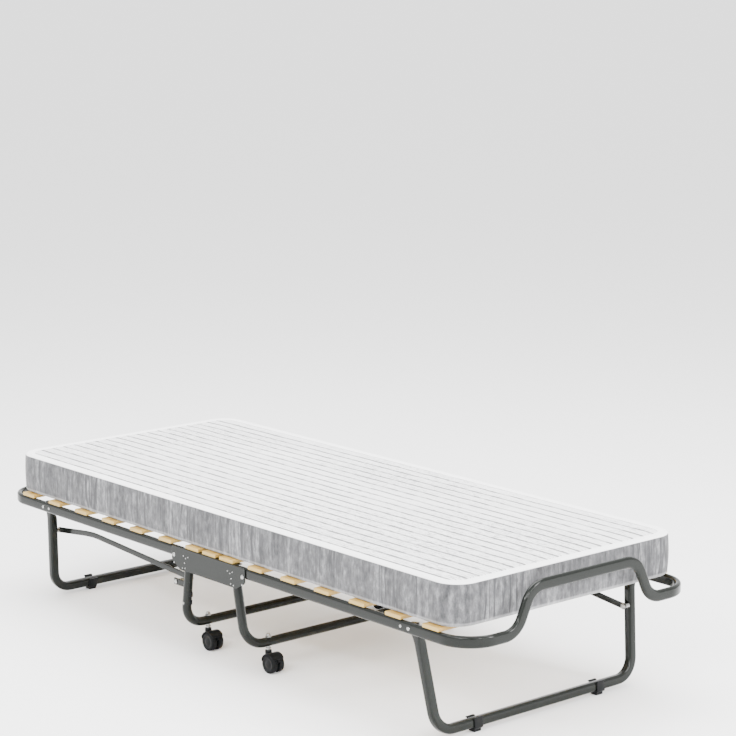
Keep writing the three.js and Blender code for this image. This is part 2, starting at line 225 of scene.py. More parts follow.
class Finish:
    """One material, built on a Principled shader."""

    def __init__(self, name, rest=None, **constants):
        """rest names a vector attribute that holds each point's place before any folding."""
        self.rest = rest
        self.material = bpy.data.materials.new(name)
        self.material.use_nodes = True
        self.tree = self.material.node_tree
        self.shader = self.tree.nodes["Principled BSDF"]
        for socket, value in constants.items():
            self.shader.inputs[socket.replace("_", " ")].default_value = value

    def put(self, socket, value):
        if isinstance(value, Value):
            self.tree.links.new(value.socket, socket)
        else:
            socket.default_value = value

    def node(self, kind, settings=None, values=None):
        node = self.tree.nodes.new(kind)
        for name, setting in (settings or {}).items():
            if name == "stops":
                ramp = node.color_ramp
                while len(ramp.elements) < len(setting):
                    ramp.elements.new(0.5)
                for element, (place, colour) in zip(ramp.elements, setting):
                    element.position = place
                    element.color = (*colour, 1.0)
            else:
                setattr(node, name, setting)
        for name, value in (values or {}).items():
            self.put(node.inputs[name], value)
        return Outputs(self, node)

    def place(self):
        if self.rest:
            return self.node("ShaderNodeAttribute", {"attribute_name": self.rest})["Vector"]
        return self.node("ShaderNodeTexCoord")["Object"]

    def axes(self, vector=None):
        parts = self.node("ShaderNodeSeparateXYZ", values={"Vector": vector or self.place()})
        return parts["X"], parts["Y"], parts["Z"]

    def scaled(self, x, y, z):
        """The point's place, stretched by one factor along each axis."""
        return self.node(
            "ShaderNodeVectorMath", {"operation": "MULTIPLY"}, {0: self.place(), 1: (x, y, z)}
        )["Vector"]

    def noise(self, vector, scale, detail=3.0, rough=0.5, distortion=0.0):
        values = {
            "Vector": vector, "Scale": scale, "Detail": detail, "Roughness": rough,
            "Distortion": distortion,
        }
        return self.node("ShaderNodeTexNoise", values=values)["Fac"]

    def mix(self, factor, low, high):
        """A colour between two colours."""
        node = self.node("ShaderNodeMix", {"data_type": "RGBA"}, {0: factor, 6: low, 7: high})
        return node[2]

    def ramp(self, value, *stops):
        return self.node("ShaderNodeValToRGB", {"stops": stops}, {"Fac": value})["Color"]

    def bump(self, height, distance, strength=1.0, normal=None):
        values = {"Height": height, "Distance": distance, "Strength": strength}
        if normal is not None:
            values["Normal"] = normal
        return self.node("ShaderNodeBump", values=values)["Normal"]

    def finish(self, colour, roughness=None, normal=None):
        self.put(self.shader.inputs["Base Color"], colour)
        if roughness is not None:
            self.put(self.shader.inputs["Roughness"], roughness)
        if normal is not None:
            self.put(self.shader.inputs["Normal"], normal)
        return self.material


def rgb(red, green, blue):
    return (red, green, blue, 1.0)


def powder_coat():
    """Anthracite gloss powder coat: orange peel, fine flake, faint drifts in shade, dulled scuffs."""
    f = Finish("powder_coat", Specular_IOR_Level=0.12, Coat_Weight=0.16, Coat_Roughness=0.05)
    place = f.place()
    drift = f.noise(place, 9.0, 3.0)
    flake = f.noise(place, 2600.0, 1.0)
    scuff = f.noise(f.scaled(1.0, 1.0, 3.0), 42.0, 6.0, 0.7).above(0.64, 0.78)
    base = f.mix(drift, rgb(0.0036, 0.0046, 0.0037), rgb(0.0068, 0.0084, 0.0068))
    base = f.mix(flake.above(0.62, 0.8) * 0.35, base, rgb(0.05, 0.054, 0.047))
    base = f.mix(scuff * 0.25, base, rgb(0.03, 0.032, 0.029))
    peel = f.noise(place, 420.0, 2.0)
    rough = 0.16 + drift * 0.07 + scuff * 0.2
    return f.finish(base, rough, f.bump(peel, 0.00012, 0.5))


def bright_steel():
    """Zinc-plated steel: fine turning marks and slight clouding."""
    f = Finish("bright_steel", Metallic=1.0)
    place = f.place()
    cloud = f.noise(place, 130.0, 4.0)
    marks = f.noise(f.scaled(1.0, 40.0, 1.0), 90.0, 2.0)
    tint = f.mix(cloud, rgb(0.22, 0.225, 0.22), rgb(0.42, 0.42, 0.41))
    return f.finish(tint, 0.16 + cloud * 0.2, f.bump(marks, 0.00004, 0.4))


def birch():
    """Laminated birch: long grain across the bed, pores, and the veneers' lines on the end grain."""
    f = Finish("birch", Coat_Weight=0.12, Coat_Roughness=0.35)
    x, y, z = f.axes()
    ids = (x * 14.7).math("FLOOR")
    board = f.node("ShaderNodeTexWhiteNoise", {"noise_dimensions": "1D"}, {"W": ids})["Value"]
    stretched = f.scaled(26.0, 1.1, 26.0)
    offset = f.node("ShaderNodeCombineXYZ", values={"Y": board * 7.0})["Vector"]
    shifted = f.node("ShaderNodeVectorMath", {"operation": "ADD"}, {0: stretched, 1: offset})["Vector"]
    figure = f.noise(shifted, 1.6, 5.0, 0.62, 0.9)
    fibre = f.noise(f.scaled(220.0, 3.0, 220.0), 6.0, 3.0, 0.7)
    pores = f.noise(f.scaled(900.0, 26.0, 900.0), 2.0, 1.0).above(0.66, 0.76)
    colour = f.ramp(
        figure, (0.25, (0.50, 0.335, 0.085)), (0.5, (0.40, 0.255, 0.055)), (0.72, (0.27, 0.155, 0.030)),
    )
    colour = f.mix((fibre - 0.35) * 0.5, colour, rgb(0.58, 0.36, 0.10))
    colour = f.mix(board * 0.22, colour, rgb(0.30, 0.145, 0.028))
    colour = f.mix(pores * 0.4, colour, rgb(0.18, 0.08, 0.02))
    end = y.math("ABSOLUTE").above(HALF_WIDTH - 1.3 * MM, HALF_WIDTH - 0.7 * MM)
    ply = ((z - SLAT_LOW[2]) * (7.0 * math.tau / (SLAT_HIGH[2] - SLAT_LOW[2]))).math("SINE").above(0.2, 0.95)
    speck = f.noise(f.scaled(1.0, 1.0, 1.0), 1700.0, 2.0).above(0.45, 0.7)
    cut = f.mix(ply * 0.6, rgb(0.48, 0.33, 0.09), rgb(0.20, 0.085, 0.02))
    cut = f.mix(speck * 0.25, cut, rgb(0.20, 0.09, 0.02))
    colour = f.mix(end, colour, cut)
    height = fibre * 0.6 + pores * -0.8 + ply * end * -0.7
    return f.finish(colour, 0.42 + fibre * 0.2, f.bump(height, 0.00016, 0.6))


def moulded_black():
    """Moulded black nylon: fine spark-eroded grain, slightly greyed on worn places."""
    f = Finish("moulded_black", Specular_IOR_Level=0.12)
    place = f.place()
    grain = f.noise(place, 1500.0, 2.0)
    cloud = f.noise(place, 60.0, 4.0)
    dust = f.noise(f.scaled(1.0, 1.0, 2.0), 190.0, 5.0, 0.7).above(0.58, 0.82)
    base = f.mix(cloud, rgb(0.003, 0.0035, 0.004), rgb(0.008, 0.0085, 0.009))
    base = f.mix(dust * 0.3, base, rgb(0.030, 0.029, 0.027))
    return f.finish(base, 0.36 + grain * 0.14 + dust * 0.15, f.bump(grain, 0.00008, 0.5))


def tyre_black():
    """The wheels' softer tread: matt, with fine running scratches and floor dust."""
    f = Finish("tread_black", Specular_IOR_Level=0.1)
    place = f.place()
    scratch = f.noise(f.scaled(1.0, 30.0, 1.0), 160.0, 3.0)
    dust = f.noise(place, 240.0, 5.0, 0.7).above(0.5, 0.8)
    base = f.mix(dust * 0.4, rgb(0.004, 0.0045, 0.005), rgb(0.035, 0.034, 0.031))
    return f.finish(base, 0.5 + scratch * 0.2, f.bump(scratch, 0.0001, 0.5))


def webbing():
    """Black polypropylene webbing: a herringbone of fine ribs."""
    f = Finish("webbing", Sheen_Weight=0.2, Sheen_Roughness=0.5)
    _, y, z = f.axes()
    rib = ((y + z * 0.8) * (math.tau / 0.0022)).math("SINE")
    cross = (z * (math.tau / 0.0016)).math("SINE")
    weave = (rib * 0.5 + cross * 0.5) * 0.5 + 0.5
    fuzz = f.noise(f.place(), 2100.0, 2.0)
    base = f.mix(weave * 0.6 + fuzz * 0.4, rgb(0.008, 0.008, 0.009), rgb(0.040, 0.040, 0.043))
    return f.finish(base, 0.75 + fuzz * 0.15, f.bump(weave, 0.0004, 0.8))


QUILT_PITCH = 38 * MM
BORDER = 27 * MM


def ticking():
    """The mattress cover: white knitted top quilted in long rows inside a plain border, with painted
    shade along its rows, and a grey heather side panel with upright streaks and painted shade in
    its creases, between two white edges."""
    f = Finish("ticking", rest="cover", Sheen_Weight=0.15, Sheen_Roughness=0.6)
    x, y, z = f.axes()
    inset = f.node("ShaderNodeAttribute", {"attribute_name": "inset"})["Fac"]
    top = z.above(PAD_HIGH[2] - 3.5 * MM, PAD_HIGH[2] - 2.0 * MM)
    under = 1.0 - z.above(PAD_LOW[2] + 0.4 * MM, PAD_LOW[2] + 1.2 * MM)
    loops = ((x * (math.tau / 0.0026)).math("SINE") * (y * (math.tau / 0.0022)).math("SINE")) * 0.5 + 0.5
    fuzz = f.noise(f.place(), 1500.0, 2.0)
    # quilted top: painted shade along the stitched groove of each row, broken into dashes, and painted shade
    # in fine ribs and flecks between
    row = (y / QUILT_PITCH).math("FRACT")
    line = (row - 0.5).math("ABSOLUTE")
    stitch = 1.0 - line.above(0.05, 0.15)
    ribs = ((y * (math.tau / (QUILT_PITCH / 4.0))).math("SINE")).above(0.75, 1.0)
    dash = f.noise(f.scaled(24.0, 60.0, 1.0), 1.0, 3.0, 0.6).above(0.42, 0.56)
    patch = f.noise(f.scaled(2.6, 3.4, 1.0), 1.0, 2.0, 0.5).above(0.40, 0.66)
    fleck = f.noise(f.scaled(70.0, 260.0, 1.0), 1.0, 3.0, 0.6).above(0.5, 0.7)
    soft = f.noise(f.scaled(2.2, 16.0, 1.0), 1.0, 3.0, 0.6)
    quilted = inset.above(BORDER - 1.0 * MM, BORDER + 1.0 * MM) * top
    white = f.mix((1.0 - soft) * quilted, rgb(0.93, 0.93, 0.93), rgb(0.62, 0.62, 0.63))
    painted_groove_shade = stitch * (0.62 + dash * 0.38)
    painted_rib_shade = (ribs * dash * 0.9 + fleck * 0.65) * (0.35 + patch * 0.65)
    shade = (painted_groove_shade + painted_rib_shade) * quilted
    # painted shade: the grooves' and ribs' shadow mixed in as near-black colour
    white = f.mix(shade, white, rgb(0.045, 0.045, 0.05))
    white = f.mix(loops * 0.06 + fuzz * 0.05, white, rgb(0.60, 0.60, 0.60))
    # side panel: upright streaks of several widths over a heather of short fibres, with painted shade in dark
    # crease lines
    wide = f.noise(f.scaled(15.0, 15.0, 1.6), 1.0, 2.0, 0.5)
    fine = f.noise(f.scaled(60.0, 60.0, 8.0), 1.0, 3.0, 0.6)
    thread = f.noise(f.scaled(420.0, 420.0, 60.0), 1.0, 2.0, 0.6)
    mottle = f.noise(f.scaled(80.0, 80.0, 42.0), 1.0, 4.0, 0.65)
    tone = wide * 0.20 + fine * 0.30 + mottle * 0.40 + thread * 0.10
    heather = f.ramp(
        tone, (0.39, (0.022, 0.022, 0.025)), (0.46, (0.056, 0.056, 0.060)), (0.53, (0.098, 0.098, 0.103)),
        (0.63, (0.23, 0.23, 0.238)),
    )
    crease = f.noise(f.scaled(48.0, 48.0, 2.2), 1.0, 2.0, 0.5, 0.6)
    fold_line = 1.0 - (crease - 0.5).math("ABSOLUTE").above(0.010, 0.055)
    # painted shade: the upright crease lines darkened almost to black
    heather = f.mix(fold_line * wide.above(0.42, 0.58) * 0.85, heather, rgb(0.018, 0.018, 0.021))
    low_edge = 1.0 - z.above(PAD_LOW[2] + 7.0 * MM, PAD_LOW[2] + 12.0 * MM)
    heather = f.mix(low_edge * 0.2, heather, rgb(0.72, 0.72, 0.72))
    colour = f.mix(top.math("MAXIMUM", under), heather, white)
    knit = loops * 0.25 + fuzz * 0.25
    height = knit + (thread * 0.3 - fold_line * 0.8) * (1.0 - top) + stitch * quilted * -1.2
    return f.finish(colour, 0.86 + fuzz * 0.08, f.bump(height, 0.0005, 0.6))


def pale_floor():
    f = Finish("pale_floor")
    cloud = f.noise(f.place(), 0.35, 3.0)
    return f.finish(f.mix(cloud, rgb(0.93, 0.93, 0.93), rgb(0.95, 0.95, 0.95)), 0.7 + cloud * 0.1)


PAINT = powder_coat()
STEEL = bright_steel()
WOOD = birch()
PLASTIC = moulded_black()
TREAD = tyre_black()
WEBBING = webbing()
TICKING = ticking()
FLOOR = pale_floor()
SLOTS = {
    PAINT: "paint", STEEL: "steel", WOOD: "wood", PLASTIC: "plastic", TREAD: "plastic", WEBBING: "webbing",
    TICKING: "mattress",
}

# ---------------------------------------------------------------- surfaces


def grid_faces(rows, columns, start=0):
    """Quads of a rows by columns grid of points, numbered row by row from start."""
    r, c = np.meshgrid(np.arange(rows - 1), np.arange(columns - 1), indexing="ij")
    first = (start + r * columns + c).ravel()
    return np.stack([first, first + 1, first + columns + 1, first + columns], axis=1)


def piece(name, sheets, material, body, stands_for=(), crease=32.0, attributes=None):
    """Joins grids of points (rows, columns, 3) into one closed piece: equal points are merged, faces
    turned outwards, and edges sharper than crease degrees kept sharp. It then rides on a body."""
    points, faces, start = [], [], 0
    for sheet in sheets:
        rows, columns = sheet.shape[:2]
        points.append(sheet.reshape(-1, 3))
        faces.append(grid_faces(rows, columns, start))
        start += rows * columns
    points = np.concatenate(points)
    faces = np.concatenate(faces)
    mesh = bpy.data.meshes.new(name)
    mesh.vertices.add(len(points))
    mesh.vertices.foreach_set("co", points.astype(np.float32).ravel())
    mesh.loops.add(faces.size)
    mesh.loops.foreach_set("vertex_index", faces.astype(np.int32).ravel())
    mesh.polygons.add(len(faces))
    mesh.polygons.foreach_set("loop_start", np.arange(0, faces.size, 4, dtype=np.int32))
    mesh.update(calc_edges=True)
    for key, values in (attributes or {}).items():
        layer = mesh.attributes.new(key, "FLOAT", "POINT")
        layer.data.foreach_set("value", values.astype(np.float32).ravel())
    if attributes:
        layer = mesh.attributes.new("cover", "FLOAT_VECTOR", "POINT")
        layer.data.foreach_set("vector", points.astype(np.float32).ravel())
    work = bmesh.new()
    work.from_mesh(mesh)
    bmesh.ops.remove_doubles(work, verts=work.verts, dist=2e-6)
    bmesh.ops.dissolve_degenerate(work, edges=work.edges, dist=1e-7)
    bmesh.ops.recalc_face_normals(work, faces=work.faces)
    work.to_mesh(mesh)
    work.free()
    mesh.shade_smooth()
    mesh.set_sharp_from_angle(angle=math.radians(crease))
    mesh.materials.append(material)
    made = bpy.data.objects.new(name, mesh)
    bpy.context.scene.collection.objects.link(made)
    SLOTS[material]
    if body:
        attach(made, body)
    if stands_for:
        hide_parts(*stands_for)
    return made


def route(corners, bends, step=5.0, run=0.05):
    """A centre line through corner points, round at each with its bend radius. Points lie every
    step degrees around a bend and about every run metres along a straight. Returns points and
    unit tangents."""
    corners = np.asarray(corners, float)
    points, tangents = [], []
    last = corners[0]
    for i in range(1, len(corners)):
        inward = corners[i] - corners[i - 1]
        inward /= np.linalg.norm(inward)
        if i == len(corners) - 1:
            stop = corners[i]
            turn = 0.0
        else:
            outward = corners[i + 1] - corners[i]
            outward /= np.linalg.norm(outward)
            turn = math.acos(np.clip(inward @ outward, -1, 1))
            stop = corners[i] - inward * bends[i] * math.tan(turn / 2)
        count = max(2, int(np.linalg.norm(stop - last) / run) + 1)
        share = np.linspace(0, 1, count)[:, None]
        points.append(last + (stop - last) * share)
        tangents.append(np.repeat(inward[None], count, 0))
        if turn:
            side = outward - inward * (inward @ outward)
            side /= np.linalg.norm(side)
            a = np.linspace(0, turn, max(3, round(math.degrees(turn) / step) + 1))[1:, None]
            points.append(stop + bends[i] * (np.sin(a) * inward + (1 - np.cos(a)) * side))
            tangents.append(np.cos(a) * inward + np.sin(a) * side)
            last = points[-1][-1]
    points, tangents = np.concatenate(points), np.concatenate(tangents)
    keep = np.r_[True, np.linalg.norm(np.diff(points, axis=0), axis=1) > 1e-7]
    return points[keep], tangents[keep]


def rounded_section(tall, wide, radius, chords=6):
    """Points (stations, around, 2) of a rectangle with round corners: each corner is an arc of
    radius about a centre set in from the corner. The sizes may differ from station to station."""
    tall, wide, radius = (np.atleast_1d(np.asarray(v, float))[:, None] for v in (tall, wide, radius))
    a = np.linspace(0, math.pi / 2, chords + 1)[None]
    parts = []
    for quarter, (p, q) in enumerate(((1, 1), (-1, 1), (-1, -1), (1, -1))):
        angle = a + quarter * math.pi / 2
        u = p * (tall / 2 - radius) + radius * np.cos(angle)
        v = q * (wide / 2 - radius) + radius * np.sin(angle)
        parts.append(np.stack(np.broadcast_arrays(u, v), axis=2))
    ring = np.concatenate(parts, axis=1)
    return np.concatenate([ring, ring[:, :1]], axis=1)


def sweep(points, across, along, section, shift=0.0):
    """A section carried along a centre line: point + u * along + v * across at each station, with
    flat ends. Returns the wall and the two end sheets."""
    section = np.broadcast_to(section, (len(points),) + section.shape[1:])
    centre = points + across * np.asarray(shift).reshape(-1, 1)
    wall = (
        centre[:, None] + section[..., :1] * along[:, None] + section[..., 1:] * across[:, None]
    )
    ends = [lid(wall[0], centre[0]), lid(wall[-1], centre[-1])]
    return [wall] + ends


def lid(ring, centre, rings=2):
    """A flat end: the ring shrunk towards its centre in steps."""
    share = np.linspace(1, 0, rings + 1)[:, None, None]
    return centre + (ring[None] - centre) * share


def upright_frame(tangents):
    """For a path with no upright stretch: across = z x t, level, and along = t x across."""
    across = np.cross((0.0, 0.0, 1.0), tangents)
    across /= np.linalg.norm(across, axis=1, keepdims=True)
    return across, np.cross(tangents, across)


def turned(profile, centre, axis="y", sides=32, hexagon=None):
    """A profile of (radius, height) turned about an axis through centre. hexagon gives, for each
    profile point, 1 where the radius is that of a hexagon's flats and 0 where it is round."""
    profile = np.asarray(profile, float)
    a = np.linspace(0, math.tau, sides + 1)
    flat = 1 / np.cos((a + math.pi / 6) % (math.pi / 3) - math.pi / 6)
    share = np.zeros(len(profile)) if hexagon is None else np.asarray(hexagon, float)
    radius = profile[:, :1] * (1 + share[:, None] * (flat[None] - 1))
    height = np.broadcast_to(profile[:, 1:], radius.shape)
    u, v = radius * np.cos(a), radius * np.sin(a)
    order = {"y": (u, height, v), "z": (u, v, height), "x": (height, u, v)}[axis]
    return np.stack(order, axis=2) + np.asarray(centre, float)


def steady(direction, count):
    """One direction, the same at each of count stations."""
    return np.repeat(np.array((direction,), float), count, 0)


def dome(radius, height, base, sign=1.0, steps=6):
    """Profile of a rivet head: a short straight rim, then a quarter ellipse up to its crown."""
    a = np.linspace(0, math.pi / 2, steps)
    rim = [(0.0, base), (radius, base), (radius, base + sign * height * 0.25)]
    crown = np.stack([radius * np.cos(a), base + sign * height * (0.25 + 0.75 * np.sin(a))], axis=1)
    return np.concatenate([rim, crown[1:]])


def soft_edges(made, width, segments=2):
    bevel = made.modifiers.new("soft edges", "BEVEL")
    bevel.width = width
    bevel.segments = segments
    bevel.limit_method = "ANGLE"
    bevel.angle_limit = math.radians(40)


# ---------------------------------------------------------------- bed frame


def half_frame(end):
    """One half's flat-oval tube: rail, corner, raised hoop, corner and rail in one run."""
    sx = ENDS[end]
    start = FOLD[0] - RAIL_TAIL
    side = [
        (start, RAIL_Y, RAIL_Z), (END_X, RAIL_Y, RAIL_Z), (END_X, HOOP_LOW_Y, RAIL_Z),
        (END_X, HOOP_HIGH_Y, HOOP_Z),
    ]
    near = [(sx * x, -y, z) for x, y, z in side]
    far = [(sx * x, y, z) for x, y, z in reversed(side)]
    bends = [0, CORNER_BEND, HOOP_BEND, HOOP_BEND]
    points, tangents = route(near + far, bends + bends[::-1], step=4.0, run=0.06)
    across, along = upright_frame(tangents)
    section = rounded_section(RAIL_TALL, RAIL_THICK, RAIL_THICK / 2 - 0.4 * MM, 7)
    piece(f"frame_{end}_tube", sweep(points, across, along, section), PAINT, f"{end}_half",
          [f"frame_{end}"], crease=50)


def leg_frame(tangents, sx, lean):
    """Axes of a leaning U: across is the normal of its plane, along lies in the plane."""
    across = np.array((1.0, 0.0, sx * lean)) / math.hypot(1, lean)
    across = steady(across, len(tangents))
    return across, np.cross(tangents, across)


def blocks(low, high):
    """A plain box as six sheets, for edges to be rounded afterwards."""
    x, y, z = ((low[i], high[i]) for i in range(3))
    c = np.array([[[(x[i], y[j], z[k]) for k in (0, 1)] for j in (0, 1)] for i in (0, 1)])
    return [c[0], c[1], c[:, 0], c[:, 1], c[:, :, 0], c[:, :, 1]]


def centre_leg(end):
    """A round U tube with the link's tab and a small bolt on one upright, and rubber bumpers."""
    sx, side = ENDS[end], LINK_SIDES[end]
    corners = [(sx * centre_leg_x(z), sy * centre_leg_y(z), z)
               for z, sy in ((CENTRE_TOP, -1), (CENTRE_BAR, -1), (CENTRE_BAR, 1), (CENTRE_TOP, 1))]
    points, tangents = route(corners, [0, CENTRE_CORNER, CENTRE_CORNER, 0], step=5.0)
    across, along = leg_frame(tangents, sx, CENTRE_LEAN)
    section = rounded_section(2 * CENTRE_RADIUS, 2 * CENTRE_RADIUS, CENTRE_RADIUS - 0.05 * MM, 8)
    piece(f"centre_leg_{end}_tube", sweep(points, across, along, section), PAINT, "chassis",
          [f"centre_leg_{end}"], crease=50)
    z = LINK_LOW[2]
    y = centre_leg_y(z)
    tab_x = sorted((sx * (centre_leg_x(z) + CENTRE_RADIUS - 2 * MM), sx * (LINK_LOW[0] + 10 * MM)))
    tab_y = sorted((side * (y - TAB_HALF_THICK), side * (y + TAB_HALF_THICK)))
    low = (tab_x[0], tab_y[0], z - TAB_HALF_TALL)
    high = (tab_x[1], tab_y[1], z + TAB_HALF_TALL)
    tab = piece(f"link_tab_{end}", blocks(low, high), PAINT, "chassis")
    soft_edges(tab, 1.5 * MM, 3)
    bolt_y = side * (centre_leg_y(BOLT_Z) + CENTRE_RADIUS - 0.3 * MM)
    bolt = turned(dome(3.6 * MM, 2.2 * MM, 0.0, side), (sx * centre_leg_x(BOLT_Z), bolt_y, BOLT_Z))
    piece(f"centre_leg_{end}_bolt", [bolt], STEEL, "chassis")
    for number, z in enumerate(BUMPERS_Z):
        x = sx * (centre_leg_x(z) - CENTRE_RADIUS + 1.0 * MM)
        y = side * (centre_leg_y(z) - 2 * MM)
        low = (x - 4.5 * MM, y - 5 * MM, z - 7.5 * MM)
        high = (x + 4.5 * MM, y + 5 * MM, z + 7.5 * MM)
        pad = piece(f"leg_bumper_{end}_{number + 1}", blocks(low, high), PLASTIC, "chassis")
        soft_edges(pad, 2.8 * MM, 4)


def end_leg(end):
    """A rounded-square U tube. Its upper ends are pressed flat across the bed, and so spread along
    it, against the rails. The section eases from flat to full over a short neck."""
    sx, side = ENDS[end], LINK_SIDES[end]
    corners = [(sx * end_leg_x(z), sy * end_leg_y(z), z)
               for z, sy in ((LEG_TOP, -1), (LEG_BAR, -1), (LEG_BAR, 1), (LEG_TOP, 1))]
    points, tangents = route(corners, [0, LEG_CORNER, LEG_CORNER, 0], step=5.0, run=0.006)
    across, along = leg_frame(tangents, sx, LEG_LEAN)
    drop = LEG_TOP - points[:, 2]
    t = np.clip((drop - NECK) / NECK, 0, 1)
    full = t * t * (3 - 2 * t)
    thick = PRESSED_THICK + (LEG_WIDTH - PRESSED_THICK) * full
    broad = PRESSED_BROAD + (LEG_DEPTH - PRESSED_BROAD) * full
    radius = 4.5 * MM + 1.5 * MM * full
    section = rounded_section(thick, broad, radius, 5)
    outward = np.sign(points[:, 1:2]) * np.array((0.0, 1.0, 0.0))
    moved = points + outward * ((LEG_WIDTH - thick) / 2)[:, None]
    sheets = sweep(moved, across, along, section)
    z = LEG_PIVOT[2] + LINK_OFFSET[1]
    x = LEG_PIVOT[0] + LINK_OFFSET[0]
    piece(f"end_leg_{end}_tube", sheets, PAINT, f"{end}_leg", [f"end_leg_{end}"], crease=50)
    face = end_leg_y(z) - LEG_WIDTH / 2 + 1 * MM
    outer = LINK_INNER + LINK_THICK + 0.5 * MM
    spacer = [(0, face), (7 * MM, face), (7 * MM, outer), (4 * MM, outer), (4 * MM, LINK_INNER - 0.5 * MM),
              (8 * MM, LINK_INNER - 0.5 * MM), (8 * MM, LINK_INNER - 1.6 * MM),
              (6.6 * MM, LINK_INNER - 2.7 * MM), (3.5 * MM, LINK_INNER - 3.1 * MM),
              (0, LINK_INNER - 3.2 * MM)]
    spacer = [(r, side * h) for r, h in spacer]
    piece(f"link_stud_{end}", [turned(spacer, (sx * x, 0, z))], STEEL, f"{end}_leg")


def glide(end, side):
    """A moulded clip: a strip carried round the crossbar's sides and underside, lips turned out."""
    sx, sy = ENDS[end], SIDES[side]
    tilt = math.atan(LEG_LEAN)
    a, b = LEG_DEPTH / 2 + GLIDE_SPACE, LEG_WIDTH / 2 + GLIDE_SPACE
    lip = 12 * MM
    flare = lip + 1 * MM
    outline = [(-a - 5 * MM, flare), (-a, lip), (-a, -b), (a, -b), (a, lip), (a + 5 * MM, flare)]
    centre = np.array((sx * end_leg_x(LEG_BAR), sy * GLIDE_Y, LEG_BAR))
    cos, sin = math.cos(tilt), math.sin(tilt)
    corners = [centre + (sx * (u * cos - v * sin), 0, u * sin + v * cos) for u, v in outline]
    points, tangents = route(corners, [0, 1.8 * MM, 4 * MM, 4 * MM, 1.8 * MM, 0], step=15, run=0.02)
    across = steady((0.0, 1.0, 0.0), len(points))
    along = np.cross(tangents, across)
    section = rounded_section(3.4 * MM, 27 * MM, 1.2 * MM, 3)
    clip = sweep(points, across, along, section)
    piece(f"glide_{end}_{side}_clip", clip, PLASTIC, f"{end}_leg", [f"glide_{end}_{side}"], crease=45)
    low = (centre[0] - 11 * MM, centre[1] - 12 * MM, 0.0)
    high = (centre[0] + 11 * MM, centre[1] + 12 * MM, centre[2] - LEG_WIDTH / 2 - GLIDE_SPACE)
    sole = piece(f"glide_{end}_{side}_sole", blocks(low, high), PLASTIC, f"{end}_leg")
    soft_edges(sole, 2.0 * MM, 3)


def link_bar(end):
    """A flat strip bent in the middle, its ends rounded: half width sqrt(r^2 - (r - s)^2) there."""
    sx, side = ENDS[end], LINK_SIDES[end]
    low = np.array((LINK_LOW[0], LINK_LOW[2]))
    high = np.array((LEG_PIVOT[0], LEG_PIVOT[2])) + LINK_OFFSET
    share = (KNEE_X - low[0]) / (high[0] - low[0])
    knee = low + (high - low) * share + (0, KNEE_RISE)
    r = 8 * MM
    first = (knee - low) / np.linalg.norm(knee - low)
    last = (high - knee) / np.linalg.norm(high - knee)
    y = side * (LINK_INNER + LINK_THICK / 2)
    plan = [low - first * r, knee, high + last * r]
    corners = [(sx * u, y, v) for u, v in plan]
    points, tangents = route(corners, [0, KNEE_BEND, 0], step=2.0, run=0.0012)
    length = np.r_[0, np.cumsum(np.linalg.norm(np.diff(points, axis=0), axis=1))]
    near_end = np.minimum(np.minimum(length, length[-1] - length), r)
    half = np.sqrt(np.maximum(r * r - (r - near_end) ** 2, 1e-9))
    keep = np.r_[np.arange(0, len(points), 3), len(points) - 1]
    keep = np.union1d(keep, np.flatnonzero(near_end < r))
    points, tangents, half = points[keep], tangents[keep], half[keep]
    across = steady((0.0, 1.0, 0.0), len(points))
    along = np.cross(tangents, across)
    radius = np.minimum(1.2 * MM, half * 0.9)
    section = rounded_section(2 * half, LINK_THICK, radius, 3)
    piece(f"link_{end}_bar", sweep(points, across, along, section), PAINT, f"{end}_link",
          [f"link_{end}"], crease=50)
    tab_y = centre_leg_y(LINK_LOW[2])
    inner, outer = LINK_INNER - 0.3 * MM, LINK_INNER + LINK_THICK + 0.3 * MM
    tab_in, tab_out = tab_y - 2.3 * MM, tab_y + 2.3 * MM
    pin = [(0, tab_out + 2.8 * MM), (4.6 * MM, tab_out + 2.6 * MM), (6.3 * MM, tab_out + 1.4 * MM),
           (6.5 * MM, tab_out), (SHANK, tab_out), (SHANK, tab_in), (6 * MM, tab_in), (6 * MM, outer),
           (SHANK, outer), (SHANK, inner), (6.5 * MM, inner), (6.3 * MM, inner - 1.4 * MM),
           (4.6 * MM, inner - 2.4 * MM), (0, inner - 2.6 * MM)]
    pin = [(reach, side * h) for reach, h in pin]
    piece(f"link_pin_{end}_turned", [turned(pin, (sx * LINK_LOW[0], 0, LINK_LOW[2]))], STEEL, "chassis",
          [f"link_pin_{end}"])


def pivot_pin(end, side, centre, outside, inside, radius, name, body):
    """A shouldered pin through a rail: domed head outside, shank, and a flat head inside."""
    sx, sy = ENDS[end], SIDES[side]
    head = 2.4 * MM
    profile = [(0, outside + head), (radius * 0.55, outside + head * 0.93),
               (radius * 0.88, outside + head * 0.6), (radius, outside + head * 0.15), (radius, outside),
               (SHANK, outside), (SHANK, inside), (6 * MM, inside), (6 * MM, inside - 1.8 * MM),
               (5 * MM, inside - 2.6 * MM), (0, inside - 2.8 * MM)]
    profile = [(r, sy * h) for r, h in profile]
    piece(f"{name}_turned", [turned(profile, (sx * centre[0], 0, centre[2]))], STEEL, body, [name])


